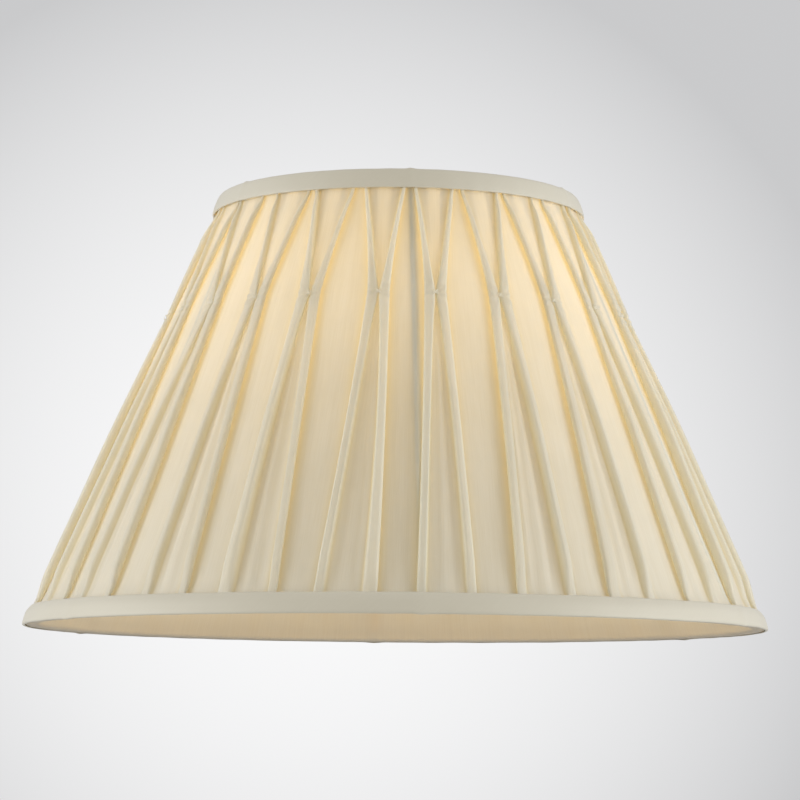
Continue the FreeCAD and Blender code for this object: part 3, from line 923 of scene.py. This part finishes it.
def rounded_copy(name, node, body, material, width):
    """A hard part's own shape with its edges eased."""
    piece = bpy.data.objects.new(name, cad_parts[node].data.copy())
    bpy.context.collection.objects.link(piece)
    clear_selection()
    piece.select_set(True)
    bpy.context.view_layer.objects.active = piece
    bpy.ops.object.mode_set(mode="EDIT")
    bpy.ops.mesh.select_all(action="SELECT")
    bpy.ops.mesh.remove_doubles(threshold=0.01 * MM)
    bpy.ops.mesh.tris_convert_to_quads()
    bpy.ops.mesh.dissolve_limited(angle_limit=math.radians(1))
    bpy.ops.object.mode_set(mode="OBJECT")
    bevel = piece.modifiers.new("eased edges", "BEVEL")
    bevel.width = width
    bevel.segments = 3
    bevel.limit_method = "ANGLE"
    bevel.angle_limit = math.radians(40)
    bpy.ops.object.modifier_apply(modifier=bevel.name)
    bpy.ops.object.shade_smooth_by_angle(angle=math.radians(35))
    clear_selection()
    give(piece, material)
    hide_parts(node)
    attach(piece, body)


rounded_copy("fitter_washer", "fitter_ring", "fitter", painted_steel, 0.35 * MM)
rounded_copy("reducer_moulding", "reducer_ring", "reducer", moulded_plastic, 0.3 * MM)

for node in ("top_ring", "bottom_ring", "right_arm", "left_arm"):
    give(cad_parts[node], dipped_wire)
for number in range(1, STRUTS + 1):
    give(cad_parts["strut_%d" % number], dipped_wire)
for node in ("top_ring_binding", "bottom_ring_binding"):
    give(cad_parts[node], binding_cotton)
for node in ("right_arm_sleeve", "left_arm_sleeve", "lining_seam"):
    give(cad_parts[node], lining_tape)
give(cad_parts["pivot_rivets"], painted_steel)


# ---------------------------------------------------------------- studio

FLOOR_HEIGHT = -2.6
FLOOR_RADIUS = 40
BULB_HEIGHT = 0.15
BULB_POWER = 0.69
BULB_COLOUR = (1.0, 0.76, 0.36)
SOFTBOX_SIZE = (1.2, 1.4)
SOFTBOX_AIM = (0, 0, 0.1)
SOFTBOX_COLOUR = (0.97, 0.99, 1.0)
WALL_POOL_PLACE = (-0.026, 0.076)
WALL_POOL_SPREAD = 0.03
WALL_BRIGHT = (0.96, 0.96, 0.965)
WALL_DIM = (0.59, 0.592, 0.60)
ROOM_COLOUR = (0.46, 0.43, 0.355)


def add_light(name, kind, place, power, colour):
    """Adds a lamp of a kind and gives its object."""
    lamp = bpy.data.lights.new(name, kind)
    lamp.energy = power
    lamp.color = colour
    holder = bpy.data.objects.new(name, lamp)
    holder.location = place
    bpy.context.collection.objects.link(holder)
    return holder


def add_softbox(name, place, power):
    softbox = add_light(name, "AREA", place, power, SOFTBOX_COLOUR)
    softbox.data.shape = "RECTANGLE"
    softbox.data.size, softbox.data.size_y = SOFTBOX_SIZE
    way = Vector(SOFTBOX_AIM) - Vector(place)
    softbox.rotation_euler = way.to_track_quat("-Z", "Y").to_euler()


def make_floor():
    clear_selection()
    bpy.ops.mesh.primitive_circle_add(
        vertices=96, radius=FLOOR_RADIUS, fill_type="NGON", location=(0, 0, FLOOR_HEIGHT)
    )
    floor = bpy.context.object
    floor.name = "studio_floor"
    graph = Finish(bpy.data.materials.new("pale floor"))
    cloud = graph.mottle(graph.object_place(), 0.6, 2.0)
    give(floor, graph.finish(graph.surface({
        "Base Color": graph.tint(cloud, (0.80, 0.80, 0.79), (0.84, 0.84, 0.83)),
        "Roughness": 0.8,
    })))


def make_world():
    """A pale wall with a pool of light on it behind, and a dimmer warmer room in front."""
    world = bpy.data.worlds.new("pale studio")
    bpy.context.scene.world = world
    graph = Finish(world, "ShaderNodeOutputWorld")
    way = graph.node("ShaderNodeTexCoord", output="Generated")
    sideways = graph.node("ShaderNodeSeparateXYZ", {}, {0: way}, output="X")
    ahead = graph.node("ShaderNodeSeparateXYZ", {}, {0: way}, output="Y")
    up = graph.node("ShaderNodeSeparateXYZ", {}, {0: way}, output="Z")
    pool_x, pool_z = WALL_POOL_PLACE
    from_pool = (sideways - pool_x) ** 2 + (up - pool_z) ** 2
    wall = graph.tint(graph.spread(from_pool, 0.0, WALL_POOL_SPREAD), WALL_BRIGHT, WALL_DIM)
    facing = graph.spread(ahead, -0.85, 0.1, "SMOOTHSTEP")
    room = graph.tint(facing, ROOM_COLOUR, wall)
    graph.finish(graph.node("ShaderNodeBackground", {}, {"Color": room, "Strength": 1.0}))
    bpy.context.scene.view_settings.view_transform = "Standard"


make_floor()
bulb = add_light("bulb", "POINT", (0, 0, BULB_HEIGHT), BULB_POWER, BULB_COLOUR)
bulb.data.shadow_soft_size = 0.03
add_softbox("left_softbox", (-1.7, -0.5, 0.2), 17)
add_softbox("right_softbox", (1.7, -0.6, 0.2), 19)
make_world()
